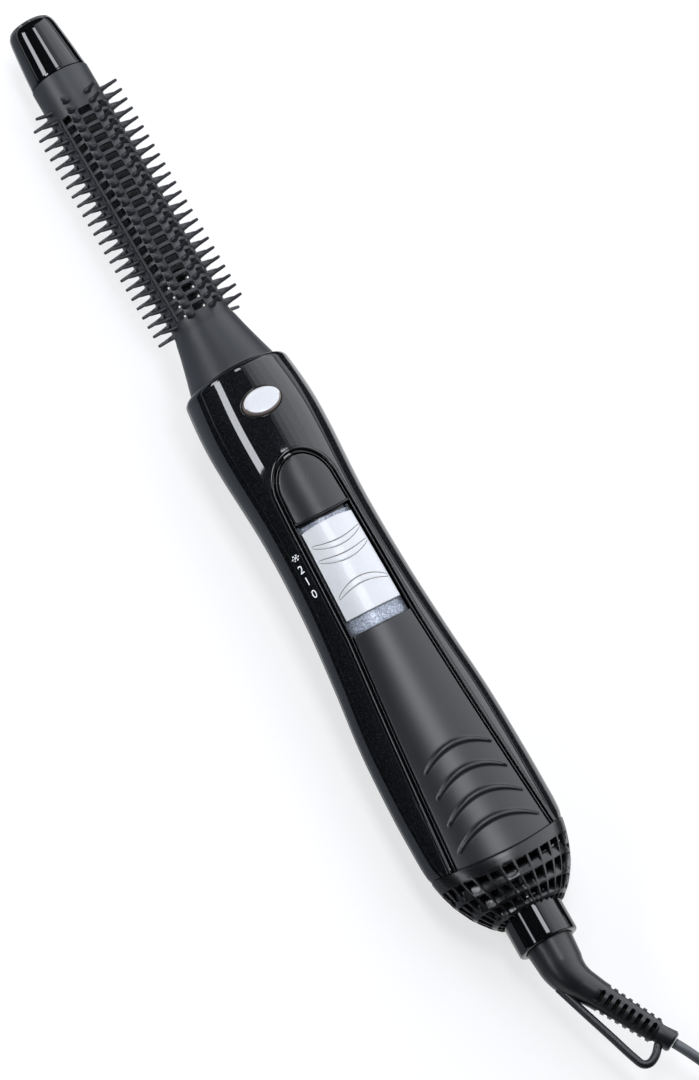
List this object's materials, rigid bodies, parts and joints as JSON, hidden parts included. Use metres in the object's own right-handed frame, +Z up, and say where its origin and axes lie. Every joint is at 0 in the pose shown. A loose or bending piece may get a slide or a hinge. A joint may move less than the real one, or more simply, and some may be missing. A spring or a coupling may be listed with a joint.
{
  "type": "hot air brush",
  "caption": "Hot air styling brush: pinned barrel with cool tip, flared cone, waisted handle with slide switch and release button, intake grille, swivel cord relief with hanging loop.",
  "frame": {"origin": "on the table under the middle of the brush, cord left out", "axes": "+Z up through the button side, -X to the cool tip, +X to the cord"},
  "size_m": [0.545, 0.0768, 0.0425],
  "materials": {
    "satin": "satin charcoal nylon, fine grain",
    "gloss": "gloss black with a fine flake",
    "inlay": "satin charcoal",
    "pearl": "pale silver, satin",
    "track": "silver blue with a fine speckle",
    "steel": "plain",
    "mica": "pressed mica",
    "board": "laminate",
    "brass": "nickel free brass",
    "rubber": "satin black",
    "white": "moulded white"
  },
  "bodies": {
    "handle": {"front_shell": "gloss", "rear_shell": "gloss", "button_spring": "steel", "upper_inlay": "inlay", "grip_panel": "inlay", "panel_bezel": "gloss", "track_plate": "track", "switch_body": "satin", "mica_liner": "mica", "mica_board_upright": "mica", "mica_board_flat": "mica", "heater_wire": "steel", "thermostat": "white", "thermal_fuse": "steel", "motor_mount": "satin", "motor_can": "steel", "motor_end_cap": "white", "circuit_board": "board", "diode_1": "satin", "diode_2": "satin", "diode_3": "satin", "diode_4": "satin", "inner_lead_left": "white", "inner_lead_right": "rubber", "shell_screw_1": "steel", "shell_screw_2": "steel", "intake_grille": "satin", "cord_collar": "gloss", "cord_stretch": "rubber", "cord_coil": "rubber", "cord_tail": "rubber", "cord_tie": "rubber", "plug_body": "rubber", "plug_pin_1": "brass", "plug_pin_2": "brass"},
    "brush_head": {"brush_barrel": "satin", "brush_cone": "satin", "cool_tip": "gloss", "tip_screw": "steel", "air_guide_core": "satin"},
    "switch": {"switch_slider": "pearl", "switch_carriage": "satin"},
    "release_button": {"release_button": "pearl", "release_latch": "satin"},
    "rotor": {"motor_shaft": "steel", "fan": "white"},
    "cord_swivel": {"strain_relief": "rubber", "retaining_clip": "steel"}
  },
  "joints": [
    {"name": "brush_slide", "type": "slide", "parent": "handle", "child": "brush_head", "axis": [-0.9985, 0, -0.0541], "range_m": [0, 0.035]},
    {"name": "switch_slide", "type": "slide", "parent": "handle", "child": "switch", "axis": [-0.9977, 0, 0.068], "range_m": [-0.0044, 0.0088]},
    {"name": "button_press", "type": "slide", "parent": "handle", "child": "release_button", "axis": [0, 0, -1], "range_m": [0, 0.0015], "stiffness_N_per_m": 400, "springref_m": -0.001, "deforming": ["button_spring"]},
    {"name": "rotor_spin", "type": "hinge", "parent": "handle", "child": "rotor", "pos_m": [0.0345, 0, 0.0183], "axis": [1, 0, 0], "continuous": true},
    {"name": "cord_turn", "type": "hinge", "parent": "handle", "child": "cord_swivel", "pos_m": [0.1493, 0, 0.0152], "axis": [1, 0, 0], "continuous": true}
  ]
}
